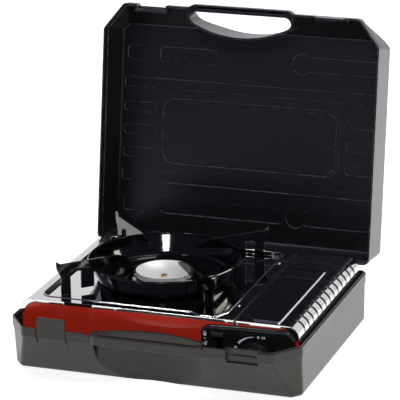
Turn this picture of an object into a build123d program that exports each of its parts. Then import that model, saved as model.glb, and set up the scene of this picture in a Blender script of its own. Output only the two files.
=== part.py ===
from build123d import *
import os
from math import cos, radians, sin

# Butane cassette stove standing in its open carry case.
#
# Millimetres. X is to the right, Y to the back, Z up. The origin is the centre of the case's
# underside. The lid is drawn shut over the base and then swung open about the hinge.

# ---------------------------------------------------------------- carry case
CASE_W = 360.0            # rim, side to side
CASE_D = 304.0            # rim, front to back
CASE_H = 62.5             # underside to parting plane
WALL = 2.5                # moulded wall
BAND_H = 11.5             # upright band below the rim
BAND_OUT = 1.0            # how far the band stands proud of the sloping walls
FRONT_SET = 30.0          # how far the front wall leans back at its foot
DRAFT = 1.5               # draft of the side and back walls
CORNER_X = 26.2           # cut front corners at the rim, along X
CORNER_Y = 33.4           # and along Y
CORNER_FOOT = 9.0         # the same cut at the foot
CORNER_R = 8.0            # rounding of the upright edges
FOOT_R = 5.0              # rounding along the foot
RELIEF = 1.0              # depth of the sunk pattern in the floor
GRIP_HALF = 66.0          # half length of the grip opening
GRIP_END = 17.0           # depth of the grip recess at its ends
GRIP_MID = 34.0           # and at its middle
GRIP_R = 9.0              # its corner rounding
GRIP_LOW = 2.5            # the recess's rim below the parting plane
GRIP_BAR = 9.0            # thickness of the grip bar
GRIP_PROUD = 4.0          # how far the bar stands out of the front
GRIP_EDGE = 1.2           # rounding along the bar
GROOVE_IN, GROOVE_W, GROOVE_DEEP = 1.8, 3.6, 8.0  # the channel along the bar's parting face
TONGUE_X0 = 99.5          # snap tongue, inner and outer edge from the middle
TONGUE_X1 = 135.0
TONGUE_UP = 13.5          # how far it stands above the parting plane
TONGUE_SLIT = 1.6         # slits that let it flex
SLIT_DOWN = 18.5          # and their depth below the rim
HOOK = 2.9                # hook on the tongue, inwards
HOOK_H = 2.6
HOOK_DROP = 1.0           # from the hook to the tongue's tip
BAY_DEPTH = 7.0           # bay for the other half's tongue
BAY_DOWN = 16.5
BAY_GAP = 1.5             # room beside the tongue
CATCH = 2.1               # catch in the bay, outwards
CATCH_H = 2.0
CATCH_GAP = 0.3           # play under the hook
LIP_UP = 1.6              # raised inner lip beyond the bay
LIP_FIT = 0.3             # its play in the other half's rebate
PARTING = 0.3             # gap between the shut halves
HINGE_BACK = 5.0          # hinge axis behind the rim
LUG_R = 4.2               # hinge lugs
LUG_W = 9.0
LUG_MID_W = 14.2
LUG_GAP = 0.4
LUG_X = 104.5             # middle of a hinge, from the middle of the case
LUG_WEB = 11.0            # how far a lug's web runs down the wall
PIN_R = 1.6
PIN_FIT = 0.05
LID_OPEN = 98.9           # how far the lid is laid back, in degrees

# floor pattern: the middle of each row of slots and channels, seen from above
BEAD_W, BEAD_D, BEAD_R, BEAD_LINE = 235.0, 84.0, 16.0, 4.0
BEAD_Y = 14.0
CHANNELS = ((-46.0, 12.5), (75.0, 13.5))          # middle Y and width
SIDE_SLOTS_Y = (-14.0, 15.5, 45.0)
SIDE_SLOT_IN, SIDE_SLOT_H = 127.0, 12.5
ROW_H = 19.0                                     # width of the slots in the two outer rows
FRONT_ROW_Y, BACK_ROW_Y = -84.0, 112.0
FRONT_ROW = ((-168.0, -65.0), (48.0, 124.0), (146.0, 168.0))
BACK_ROW = ((-161.0, -75.0), (-49.0, 118.0), (150.0, 168.0))
ROUND_R = 13.0                                   # round dimples in the outer rows
ROUNDS = ((-65.0, FRONT_ROW_Y), (-65.0, BACK_ROW_Y), (134.0, BACK_ROW_Y))
SLOT_R = 5.5

# ---------------------------------------------------------------- stove body
SIDE_ROOM = 7.0           # from the case's rim to the stove's sides
FRONT_ROOM = 44.0         # before the stove
BACK_ROOM = 10.0          # and behind it
TOP_Z = 82.0              # top plate
SHEET = 1.0               # steel sheet
SHOULDER_R = 14.0         # rounded left and right edges of the top
SKIRT_Z = 66.0            # lower edge of the top plate's side skirt
FLANGE = 3.5              # bright front and back edge of the top
BODY_Z = 9.5              # underside of the body
BODY_GAP = 0.3            # between body and top
FOOT_TOP_R = 8.0
FOOT_LOW_R = 6.5
FOOT_SIDE, FOOT_FRONT, FOOT_BACK = 43.0, 42.0, 49.0    # feet from the stove's edges
VENT_L, VENT_W, VENT_PITCH = 44.0, 5.0, 14.0
VENT_OUT = 62.5           # middle of a field of slots from the burner's axis
VENT_ROWS = 7

# ---------------------------------------------------------------- burner and tray
TRAY_SIDE, TRAY_SEAM = 21.0, 14.7                # from the stove's left side and from the bay's wall
TRAY_FORE, TRAY_REAR = 14.0, 10.0                # from the stove's front and back
BURNER_FORE = 1.0         # the burner's axis before the middle of the tray
TRAY_DEPTH = 4.0
TRAY_R = 13.0
TRAY_BEAD_W, TRAY_BEAD_H, TRAY_BEAD_R = 2.4, 0.9, 0.8
JOG_L, JOG_RAMP, JOG_OUT, JOG_R = 27.5, 10.0, 8.5, 6.0
TRAY_HOLE_R = 44.0
HEAD_R = 34.6             # burner head
HEAD_RIM_Z = 88.4
HEAD_LOW_Z = 74.0
HEAD_FOOT_R = 24.0
DISH_DEPTH = 9.0
DISH_LIP = 1.4
PORTS = 30
PORT_W, PORT_DEEP, PORT_H = 1.6, 3.0, 3.6
SCREW_R, SCREW_H = 4.0, 2.4
CUP_R, CUP_H = 28.0, 8.0  # burner base
NECK_R, NECK_LOW_Z = 12.0, 44.0
BRACKET_W, BRACKET_D = 56.0, 38.0
TUBE_R, TUBE_WALL, BELL_R, BELL_L = 8.0, 1.5, 10.5, 9.0
BELL_SET = 16.0           # jet to the bell mouth of the mixing tube
TUBE_END_Z = 60.0

# ---------------------------------------------------------------- pan support
RING_R = 93.0             # rim, outside
RING_FOOT_R = 78.0        # bend between wall and floor
RING_TOP_Z = 104.9
RING_SEAT = 0.3           # its floor above the tray
RING_SHEET = 1.4
RING_ROLL = 1.6           # rolled rim
RING_BEND = 3.0           # size of the bend
BOWL_R = 50.0             # hole in the bowl's floor
BOWL_RISE = 1.8
ARM_T = 2.2
ARM_TOP_Z = 117.3
HORN_Z = 121.4
HORN_NECK, HORN_LEAN = 7.0, 1.0
ARM_OUT = 141.2           # tip of an arm from the burner's axis
ARM_FOOT = 135.5
ARM_IN = 42.0             # inner end
ARM_IN_Z = 111.0
ARM_RAMP = 20.0           # length of the inner end's sloping top
LEG_W = 12.0
ARCH_IN = 109.5           # inner side of the window under an arm
WEB_LOW_Z = 83.2          # underside of the arm between window and ring
ARCH_TOP_Z = 105.5
ARCH_R = 6.0
ARM_LOW_Z = 101.0         # underside of an arm at the ring
ARM_SEAT = 0.1

# ---------------------------------------------------------------- cartridge bay
BAY_W = 80.8              # from the partition's left face to the stove's side
PLATE_LAP = 1.2           # top plate over the partition
SEAM = 2.6                # gap between top plate and cover
AXIS_IN, AXIS_DOWN = 1.6, 3.6                    # the cover's hinge from its edge and its top
COVER_PIN_R = 1.0
COVER_EAR_R = 2.0
SWEEP_GAP = 0.4           # room round the cover's edge as it opens
RIVET_SIDE, RIVET_FORE, RIVET_REAR = 9.2, 49.0, 45.0
RIVET_R, RIVET_SHANK = 2.4, 1.3
PANEL_SEAM, PANEL_SIDE, PANEL_END = 8.0, 24.5, 6.0   # raised field from the cover's edges
PANEL_CUT, PANEL_RISE, PANEL_R = 12.0, 1.5, 4.0
LOUVRES, LOUVRE_PITCH, LOUVRE_W, LOUVRE_L = 13, 17.0, 3.0, 17.6
CAN_R = 33.5
CAN_SIDE, CAN_Z = 40.0, 46.0
HEAT_GAP, HEAT_FORE, HEAT_W, HEAT_T = 2.5, 16.0, 50.0, 1.2
HEAT_TOP_Z = 68.0

# ---------------------------------------------------------------- controls
KNOB_SIDE, KNOB_Z = 52.0, 39.0
KNOB_R, KNOB_BACK, KNOB_L = 20.0, 0.6, 14.5
KNOB_SKIRT_L, KNOB_BODY_R, KNOB_GRIP_W = 4.5, 16.5, 9.0
KNOB_FLUTES, FLUTE_R = 20, 1.2
CONSOLE_T = 3.8           # control panel moulding
CONSOLE_REACH, CONSOLE_SIDE, CONSOLE_LOW = 67.5, 6.0, 14.0   # left of the knob, from the stove's side
CONSOLE_TOP_L, CONSOLE_TOP_R = 71.5, 76.5
CONSOLE_SLOPE, CONSOLE_SHOULDER_Z = 15.0, 57.0
CONSOLE_R = 8.0
DIAL_R, DIAL_SUNK = 23.0, 0.8
SHAFT_R, SHAFT_FIT = 3.0, 0.3
LEVER_LEFT, LEVER_T = 44.5, 5.0                  # left of the knob
LEVER_BACK, LEVER_PIVOT_Z = 46.0, 55.0           # pivot behind the stove's front
LEVER_TILT = 11.0         # thumb tab up or down from level, in degrees
LEVER_REACH = 50.0        # pivot to thumb tab
LEVER_ARM = 14.0          # pivot to the carriage's drive pin
LEVER_BAR = 7.0
TAB_W, TAB_H, TAB_L = 15.0, 5.5, 8.0
LEVER_PIN_R, LEVER_PIN_FIT = 2.0, 0.06
SLOT_SIDE, SLOT_UP = 1.0, 14.5
CARRIAGE_T, CARRIAGE_GAP, CARRIAGE_PLAY = 1.6, 1.0, 0.5
CARRIAGE_FORE, CARRIAGE_L, CARRIAGE_Z0, CARRIAGE_Z1 = 18.0, 48.0, 37.0, 74.0
STUD_R, STUD_FORE, STUD_PITCH, STUD_Z = 2.0, 26.0, 27.0, 43.0
REG_R, REG_FORE, REG_L = 18.0, 13.0, 38.0
REG_FLANGE_R, REG_FLANGE_T, REG_LEG = 26.0, 4.0, 8.0
SOCKET_R, SOCKET_WALL, SOCKET_L = 12.0, 2.5, 4.0
PIPE_R, PIPE_BACK, PIPE_Z = 3.0, 14.0, 31.0      # before the regulator's back
JET_SIDE, JET_L, JET_R = 28.2, 13.0, 5.0         # left of the partition
IGNITER_LEFT, IGNITER_Z, IGNITER_R, IGNITER_L = 15.0, 20.0, 6.5, 36.0
ELECTRODE_ANGLE, ELECTRODE_OUT = 220.0, 3.9      # round the burner, and out from its head
CERAMIC_R, WIRE_R = 2.4, 0.8
LEAD_R, LEAD_BEND, LEAD_BACK = 1.3, 8.0, 10.0

# ---------------------------------------------------------------- what follows from these
STOVE_HALF = CASE_W / 2 - SIDE_ROOM
STOVE_W = 2 * STOVE_HALF
STOVE_FRONT = FRONT_ROOM - CASE_D / 2
STOVE_BACK = CASE_D / 2 - BACK_ROOM
WALL_X = STOVE_HALF - BAY_W
SEAM_LEFT = WALL_X + PLATE_LAP
SEAM_RIGHT = SEAM_LEFT + SEAM
COVER_AXIS_X, COVER_AXIS_Z = SEAM_RIGHT + AXIS_IN, TOP_Z - AXIS_DOWN
COVER_SWEEP = (AXIS_IN**2 + AXIS_DOWN**2) ** 0.5 + SWEEP_GAP
TRAY_Z = TOP_Z - TRAY_DEPTH
TRAY_LEFT, TRAY_RIGHT = TRAY_SIDE - STOVE_HALF, WALL_X - TRAY_SEAM
TRAY_FRONT, TRAY_BACK = STOVE_FRONT + TRAY_FORE, STOVE_BACK - TRAY_REAR
JOG_X = TRAY_RIGHT - JOG_L
BURNER_X = (TRAY_LEFT + TRAY_RIGHT) / 2
BURNER_Y = (TRAY_FRONT + TRAY_BACK) / 2 - BURNER_FORE
BURNER = Pos(BURNER_X, BURNER_Y, 0)
ELECTRODE_R_FROM = HEAD_R + ELECTRODE_OUT
RIVET_X, RIVET_YS = WALL_X - RIVET_SIDE, (STOVE_FRONT + RIVET_FORE, STOVE_BACK - RIVET_REAR)
PANEL_X0, PANEL_X1 = SEAM_RIGHT + PANEL_SEAM, STOVE_HALF - PANEL_SIDE
PANEL_Y0, PANEL_Y1 = STOVE_FRONT + PANEL_END, STOVE_BACK - PANEL_END
CAN_X = STOVE_HALF - CAN_SIDE
HEAT_X0 = BURNER_X + BRACKET_W / 2 + LEG_W + HEAT_GAP
HEAT_Y0, HEAT_Y1 = BURNER_Y - HEAT_FORE, BURNER_Y - HEAT_FORE + HEAT_W
KNOB_X = STOVE_HALF - KNOB_SIDE
LEVER_X, LEVER_PIVOT_Y = KNOB_X - LEVER_LEFT, STOVE_FRONT + LEVER_BACK
DRIVE_Z = LEVER_PIVOT_Z + LEVER_ARM
DRIVE_SWING = LEVER_ARM * sin(radians(LEVER_TILT))
CARRIAGE_Y0, CARRIAGE_Y1 = STOVE_FRONT + CARRIAGE_FORE, STOVE_FRONT + CARRIAGE_FORE + CARRIAGE_L
STUD_YS = (STOVE_FRONT + STUD_FORE, STOVE_FRONT + STUD_FORE + STUD_PITCH)
REG_FRONT, REG_BACK = STOVE_FRONT + REG_FORE, STOVE_FRONT + REG_FORE + REG_L
PIPE_Y, JET_X = REG_BACK - PIPE_BACK, WALL_X - JET_SIDE
IGNITER_X = KNOB_X - IGNITER_LEFT
BODY_INSET = SHEET + BODY_GAP
BODY_FRONT = STOVE_FRONT + BODY_INSET
BODY_BACK = STOVE_BACK - BODY_INSET
CONSOLE_FRONT = BODY_FRONT - CONSOLE_T
RIM_FRONT = -CASE_D / 2
HINGE_Y = CASE_D / 2 + HINGE_BACK
HINGE_Z = CASE_H + PARTING / 2


# ---------------------------------------------------------------- helpers
def stand(sketch, low, high):
    """A plan outline drawn upwards from one height to another."""
    return extrude(Pos(0, 0, low) * sketch, high - low)


def run(sketch, front, back):
    """An outline in X and Z drawn from front to back."""
    return extrude(Plane.XZ.offset(-back) * sketch, back - front)


def block(x, y, z):
    """A box given by its low and high limits along X, Y and Z."""
    size = (x[1] - x[0], y[1] - y[0], z[1] - z[0])
    return Pos((x[0] + x[1]) / 2, (y[0] + y[1]) / 2, (z[0] + z[1]) / 2) * Box(*size)


def turned(points, place=Pos(0, 0, 0)):
    """A profile of radius and height turned about an upright axis."""
    return place * revolve(Plane.XZ * Polygon(*points, align=None), Axis.Z)


def rod(start, end, radius):
    """A round bar between two points."""
    start, end = Vector(*start), Vector(*end)
    axis = end - start
    return Plane(start, z_dir=axis) * Cylinder(radius, axis.length, align=(Align.CENTER, Align.CENTER, Align.MIN))


def keep_side(shape, low_x, high_x):
    """The part of a shape between two X limits."""
    room = 4 * CASE_W
    return shape & block((low_x, high_x), (-room, room), (-room, room))


# ---------------------------------------------------------------- carry case
def case_plan(share, inset=0.0):
    """The case's plan: share 0 is its foot and share 1 its rim."""
    half = CASE_W / 2 - DRAFT * (1 - share)
    back = CASE_D / 2 - DRAFT * (1 - share)
    front = RIM_FRONT + FRONT_SET * (1 - share)
    cut_x = CORNER_FOOT + (CORNER_X - CORNER_FOOT) * share
    cut_y = CORNER_FOOT + (CORNER_Y - CORNER_FOOT) * share
    right = [(half - cut_x, front), (half, front + cut_y), (half, back)]
    left = [(-x, y) for x, y in reversed(right)]
    outline = Polygon(*right, *left, align=None)
    if inset:
        outline = offset(outline, -inset, kind=Kind.INTERSECTION)
    return fillet(outline.vertices(), CORNER_R - inset)


def case_body(inset, low, high):
    """The case's outer form, or with an inset the hollow inside it."""
    band_z = CASE_H - BAND_H + inset
    foot = Pos(0, 0, low) * case_plan(low / (CASE_H - BAND_H), inset)
    waist = Pos(0, 0, band_z) * case_plan(1, inset + BAND_OUT)
    body = loft([foot, waist], ruled=True)
    body = fillet(body.faces().sort_by(Axis.Z)[0].edges(), FOOT_R - inset)
    return body + stand(case_plan(1, inset), band_z, high)


def grip_plan(grow=0.0):
    """The finger recess in plan, open to the front."""
    mouth = RIM_FRONT - CASE_D / 10
    end, middle = RIM_FRONT + GRIP_END, RIM_FRONT + GRIP_MID
    lines = ThreePointArc((-GRIP_HALF, end), (0, middle), (GRIP_HALF, end))
    lines += Polyline((GRIP_HALF, end), (GRIP_HALF, mouth), (-GRIP_HALF, mouth), (-GRIP_HALF, end))
    outline = make_face(lines)
    outline = fillet(outline.vertices().group_by(Axis.Y)[-1], GRIP_R)
    return offset(outline, grow, kind=Kind.INTERSECTION) if grow else outline


def grip_bar():
    """The channelled bar that is held: it stands out of the front, with rounded inner corners."""
    proud = RIM_FRONT - GRIP_PROUD
    inner, root = proud + GRIP_BAR, GRIP_HALF + WALL
    low, back = CASE_H - BAND_H, inner + GRIP_R
    right = [(GRIP_HALF - GRIP_PROUD, proud), (root, RIM_FRONT), (root, back)]
    plan = Polygon(*[(-x, y) for x, y in reversed(right)], *right, align=None)
    window = Polygon((-GRIP_HALF, inner), (GRIP_HALF, inner), (GRIP_HALF, CASE_D), (-GRIP_HALF, CASE_D), align=None)
    plan -= fillet(window.vertices().group_by(Axis.Y)[0], GRIP_R)
    bar = stand(plan, low, CASE_H)
    bar = fillet(bar.edges().filter_by(Axis.X).filter_by(lambda edge: edge.length > GRIP_HALF), GRIP_EDGE)
    reach, front = GRIP_HALF - GRIP_R, proud + GROOVE_IN
    return bar - block((-reach, reach), (front, front + GROOVE_W), (CASE_H - GROOVE_DEEP, 2 * CASE_H))


def tongue():
    """The snap tongue on the left, with its hook turned inwards."""
    x0, x1 = -TONGUE_X1, -TONGUE_X0
    top = CASE_H + TONGUE_UP
    plate = block((x0, x1), (RIM_FRONT, RIM_FRONT + WALL), (CASE_H - BAND_H, top))
    plate = fillet(plate.edges().filter_by(Axis.Y).group_by(Axis.Z)[-1], WALL)
    inner, tip = RIM_FRONT + WALL, top - HOOK_DROP
    hook = Polygon((inner, tip), (inner, tip - HOOK_H), (inner + HOOK, tip - HOOK_H), align=None)
    return plate + extrude(Plane.YZ.offset(x0 + WALL) * hook, x1 - x0 - 2 * WALL)


def catch():
    """The ledge in the right bay that the other half's hook snaps under."""
    hook_low = CASE_H + TONGUE_UP - HOOK_DROP - HOOK_H
    ledge = 2 * CASE_H + PARTING - hook_low + CATCH_GAP
    wall = RIM_FRONT + BAY_DEPTH
    x0, x1 = TONGUE_X0 + WALL, TONGUE_X1 - WALL
    return block((x0, x1), (wall - CATCH, wall + WALL / 2), (ledge, ledge + CATCH_H))


def lug(middle, width):
    """A hinge lug: an eye on a web that runs down the back wall."""
    wall = CASE_D / 2 - WALL / 2
    eye = Pos(HINGE_Y, HINGE_Z) * Circle(LUG_R)
    low = (HINGE_Y + LUG_R * cos(radians(45)), HINGE_Z - LUG_R * sin(radians(45)))
    web = Polygon((wall, CASE_H), (wall, CASE_H - LUG_WEB), low, (HINGE_Y, CASE_H), align=None)
    return extrude(Plane.YZ.offset(middle - width / 2) * (eye + web), width)


def floor_pattern():
    """The pattern that is sunk into the floor."""
    bead = RectangleRounded(BEAD_W, BEAD_D, BEAD_R)
    bead -= RectangleRounded(BEAD_W - 2 * BEAD_LINE, BEAD_D - 2 * BEAD_LINE, BEAD_R - BEAD_LINE)
    pattern = Pos(0, BEAD_Y) * bead
    half = CASE_W / 2 - DRAFT - 3 * WALL
    for middle, width in CHANNELS:
        pattern += Pos(0, middle) * Rectangle(2 * half, width)
    for middle in SIDE_SLOTS_Y:
        for side in (-1, 1):
            length = half - SIDE_SLOT_IN
            place = Pos(side * (SIDE_SLOT_IN + length / 2), middle)
            pattern += place * RectangleRounded(length, SIDE_SLOT_H, SLOT_R)
    for row_y, row in ((FRONT_ROW_Y, FRONT_ROW), (BACK_ROW_Y, BACK_ROW)):
        for x0, x1 in row:
            pattern += Pos((x0 + x1) / 2, row_y) * RectangleRounded(x1 - x0, ROW_H, SLOT_R)
    for x, y in ROUNDS:
        pattern += Pos(x, y) * Circle(ROUND_R)
    return pattern & case_plan(0, 2 * WALL)


def case_half():
    """One half of the case. The other half is its twin, turned over."""
    above = CASE_H + WALL
    bay_x = (TONGUE_X0 - BAY_GAP, TONGUE_X1 + BAY_GAP)
    bay_wall = RIM_FRONT + BAY_DEPTH
    bay_z = CASE_H - BAY_DOWN
    front = RIM_FRONT - WALL
    hollow = case_body(WALL, WALL, above)
    hollow -= stand(grip_plan(WALL), 0, above)
    hollow -= block((bay_x[0] - WALL, bay_x[1] + WALL), (front, bay_wall + WALL), (bay_z - WALL, above))
    half = case_body(0, 0, CASE_H) - hollow
    half -= stand(grip_plan(), -WALL, above)
    half -= stand(grip_plan(2 * WALL), CASE_H - GRIP_LOW, above)
    half -= block(bay_x, (front, bay_wall), (bay_z, above))
    half += grip_bar()
    half += catch()
    for edge in (-TONGUE_X1 - TONGUE_SLIT, -TONGUE_X0):
        half -= block((edge, edge + TONGUE_SLIT), (front, bay_wall + WALL), (CASE_H - SLIT_DOWN, above))
    half += tongue()
    half -= stand(floor_pattern(), WALL - RELIEF, WALL)
    lip_x = bay_x[1] + WALL / 2
    middle = (WALL + BAND_OUT) / 2 - LIP_FIT / 2
    lip = case_plan(1, middle + LIP_FIT) - case_plan(1, WALL)
    half += keep_side(stand(lip, CASE_H, CASE_H + LIP_UP), lip_x, CASE_W)
    rebate = case_plan(1, middle) - case_plan(1, 2 * WALL)
    half -= keep_side(stand(rebate, CASE_H - LIP_UP - LIP_FIT, above), -CASE_W, -lip_x + LIP_FIT)
    reach = LUG_MID_W / 2 + LUG_GAP + LUG_W / 2
    half += lug(-LUG_X, LUG_MID_W)
    half += lug(LUG_X - reach, LUG_W)
    half += lug(LUG_X + reach, LUG_W)
    return half - rod((-CASE_W / 2, HINGE_Y, HINGE_Z), (CASE_W / 2, HINGE_Y, HINGE_Z), PIN_R + PIN_FIT)


def hinge_pins():
    """A steel pin through each pair of lugs."""
    half = LUG_MID_W / 2 + LUG_GAP + LUG_W
    spans = [(side * LUG_X - half, side * LUG_X + half) for side in (-1, 1)]
    return [rod((low, HINGE_Y, HINGE_Z), (high, HINGE_Y, HINGE_Z), PIN_R) for low, high in spans]


def case_lid(base):
    """The twin of the base, turned over on top of it and swung open."""
    shut = Pos(0, 0, 2 * CASE_H + PARTING) * (Rot(0, 180, 0) * base)
    hinge = Pos(0, HINGE_Y, HINGE_Z)
    return hinge * Rot(-LID_OPEN, 0, 0) * hinge.inverse() * shut


# ---------------------------------------------------------------- stove body
def arch(inset, low):
    """The stove from the front: upright sides and rounded shoulders."""
    half, top = STOVE_HALF - inset, TOP_Z - inset
    outline = Polygon((-half, low), (half, low), (half, top), (-half, top), align=None)
    return fillet(outline.vertices().group_by(Axis.Y)[-1], SHOULDER_R - inset)


def top_form():
    """The bright top before it is parted: one skin with a narrow flange front and back."""
    skin = run(arch(0, SKIRT_Z), STOVE_FRONT, STOVE_BACK)
    skin -= run(arch(SHEET, SKIRT_Z - SHEET), STOVE_FRONT + SHEET, STOVE_BACK - SHEET)
    return skin - run(arch(FLANGE, SKIRT_Z - SHEET), STOVE_FRONT - SHEET, STOVE_BACK + SHEET)


def tray_plan(grow=0.0):
    """The sunk tray's outline, which bulges forward at its right front corner."""
    jog = TRAY_FRONT - JOG_OUT
    points = [
        (TRAY_LEFT, TRAY_BACK), (TRAY_LEFT, TRAY_FRONT), (JOG_X - JOG_RAMP, TRAY_FRONT), (JOG_X, jog),
        (TRAY_RIGHT - JOG_OUT, jog), (TRAY_RIGHT, TRAY_FRONT + JOG_OUT), (TRAY_RIGHT, TRAY_BACK),
    ]
    outline = Polygon(*points, align=None)
    corners = outline.vertices().sort_by(Axis.X)
    outline = fillet(corners[:2], TRAY_R)
    outline = fillet(outline.vertices().filter_by_position(Axis.X, JOG_X - JOG_L, TRAY_RIGHT + JOG_L), JOG_R)
    return offset(outline, grow, kind=Kind.ARC) if grow else outline


def top_plate(form):
    """The polished top with its tray, bead and burner hole."""
    plate = keep_side(form, -STOVE_W, SEAM_LEFT)
    plate += stand(tray_plan(SHEET), TRAY_Z - SHEET, TOP_Z - SHEET / 2)
    bead = stand(tray_plan(TRAY_BEAD_W) - tray_plan(), TOP_Z - SHEET, TOP_Z + TRAY_BEAD_H)
    crown = bead.faces().sort_by(Axis.Z)[-1].edges()
    plate += fillet(crown, TRAY_BEAD_R)
    plate -= stand(tray_plan(), TRAY_Z, TOP_Z + 2 * TRAY_BEAD_H)
    plate -= BURNER * Pos(0, 0, TRAY_Z) * Cylinder(TRAY_HOLE_R, 4 * SHEET)
    for y in RIVET_YS:
        plate -= Pos(RIVET_X, y, TOP_Z) * Cylinder(RIVET_SHANK, 4 * SHEET)
    return plate


def cover_panel(inset, low):
    """The raised field of the cover, with its left front corner cut."""
    points = [
        (PANEL_X0, PANEL_Y1), (PANEL_X0, PANEL_Y0 + PANEL_CUT), (PANEL_X0 + PANEL_CUT, PANEL_Y0),
        (PANEL_X1, PANEL_Y0), (PANEL_X1, PANEL_Y1),
    ]
    outline = Polygon(*points, align=None)
    outline = fillet(outline.vertices(), PANEL_R)
    if inset:
        outline = offset(outline, -inset, kind=Kind.ARC)
    return extrude(Pos(0, 0, low) * outline, PANEL_RISE, taper=45)


def cartridge_cover(form):
    """The polished cover of the cartridge bay, with louvres along its shoulder."""
    cover = keep_side(form, SEAM_RIGHT, STOVE_W)
    cover += cover_panel(0, TOP_Z)
    cover -= cover_panel(SHEET, TOP_Z - SHEET)
    arc_x, arc_z = STOVE_HALF - SHOULDER_R, TOP_Z - SHOULDER_R
    slot = Box(3 * SHEET, LOUVRE_W, LOUVRE_L)
    for index in range(LOUVRES):
        y = (STOVE_FRONT + STOVE_BACK) / 2 + (index - (LOUVRES - 1) / 2) * LOUVRE_PITCH
        cover -= Pos(arc_x, y, arc_z) * Rot(0, -45, 0) * Pos(SHOULDER_R, 0, 0) * slot
    ear = Pos(COVER_AXIS_X, COVER_AXIS_Z) * Circle(COVER_EAR_R)
    for front in (STOVE_FRONT, STOVE_BACK - SHEET):
        cover += run(ear, front, front + SHEET)
    return cover - cover_axis(COVER_PIN_R + PIN_FIT)


def cover_axis(radius):
    """A rod along the cover's hinge, from the front flange to the back one."""
    ends = [(COVER_AXIS_X, y, COVER_AXIS_Z) for y in (STOVE_FRONT, STOVE_BACK)]
    return rod(*ends, radius)


def cover_pins():
    """A short pin at each end of the cover's hinge."""
    whole = cover_axis(COVER_PIN_R)
    tab = BODY_INSET + 3 * SHEET
    room = (0, STOVE_W)
    spans = ((STOVE_FRONT, STOVE_FRONT + tab), (STOVE_BACK - tab, STOVE_BACK))
    return [whole & block(room, span, room) for span in spans]


def console_plan():
    """The control panel's outline from the front; its top rises to the right."""
    left, right = KNOB_X - CONSOLE_REACH, STOVE_HALF - CONSOLE_SIDE
    points = [
        (left, CONSOLE_LOW), (right, CONSOLE_LOW), (right, CONSOLE_SHOULDER_Z),
        (right - CONSOLE_SLOPE, CONSOLE_TOP_R), (left, CONSOLE_TOP_L),
    ]
    return fillet(Polygon(*points, align=None).vertices(), CONSOLE_R)


def lever_slot():
    """The slot that the lock lever passes through, front to back."""
    slot = Rectangle(LEVER_T + 2 * SLOT_SIDE, 2 * SLOT_UP)
    return run(Pos(LEVER_X, LEVER_PIVOT_Z) * slot, CONSOLE_FRONT - SHEET, BODY_FRONT + 2 * SHEET)


def knob_axis(front, back, radius):
    """A rod along the knob's axis."""
    return rod((KNOB_X, front, KNOB_Z), (KNOB_X, back, KNOB_Z), radius)


def cover_notch():
    """What the cover's edge sweeps beside its hinge as it opens, round the hinge's ears."""
    sweep = block(
        (COVER_AXIS_X - COVER_SWEEP, COVER_AXIS_X), (STOVE_FRONT, STOVE_BACK),
        (COVER_AXIS_Z - COVER_SWEEP, TOP_Z),
    )
    sweep -= cover_axis(COVER_EAR_R)
    ear = COVER_AXIS_X - COVER_EAR_R
    return sweep - block((ear, COVER_AXIS_X), (STOVE_FRONT, STOVE_BACK), (0, COVER_AXIS_Z))


def body_shell():
    """The red body: front, back and side walls of one folded sheet."""
    shell = run(arch(BODY_INSET, BODY_Z), BODY_FRONT, BODY_BACK)
    inner = run(arch(BODY_INSET + SHEET, BODY_Z - SHEET), BODY_FRONT + SHEET, BODY_BACK - SHEET)
    shell -= inner
    across = STOVE_HALF - SHOULDER_R
    inside_y = (BODY_FRONT + SHEET, BODY_BACK - SHEET)
    shell -= block((-across, STOVE_W), inside_y, (TRAY_Z - 3 * SHEET, 2 * TOP_Z))
    shell -= block((SEAM_LEFT, STOVE_W), inside_y, (SKIRT_Z - 2 * BODY_GAP, 2 * TOP_Z))
    shell -= cover_notch()
    shell -= lever_slot()
    shell -= knob_axis(STOVE_FRONT, BODY_FRONT + 2 * SHEET, SHAFT_R + SHAFT_FIT)
    return shell - cover_axis(COVER_PIN_R + PIN_FIT)


def bottom_plate():
    """The bottom sheet with two fields of cooling slots."""
    half = STOVE_HALF - BODY_INSET - SHEET
    plate = block((-half, half), (BODY_FRONT + SHEET, BODY_BACK - SHEET), (BODY_Z, BODY_Z + SHEET))
    for side in (-1, 1):
        for index in range(VENT_ROWS):
            y = BURNER_Y + (index - (VENT_ROWS - 1) / 2) * VENT_PITCH
            place = Pos(BURNER_X + side * VENT_OUT, y)
            plate -= stand(place * SlotOverall(VENT_L, VENT_W), 0, TOP_Z / 2)
    return plate


def stove_feet():
    """Four rubber feet under the bottom plate."""
    foot = turned([(0, WALL), (FOOT_LOW_R, WALL), (FOOT_TOP_R, BODY_Z), (0, BODY_Z)])
    middles = (STOVE_FRONT + FOOT_FRONT, STOVE_BACK - FOOT_BACK)
    return [Pos(side * (STOVE_HALF - FOOT_SIDE), y, 0) * foot for side in (-1, 1) for y in middles]


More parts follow.
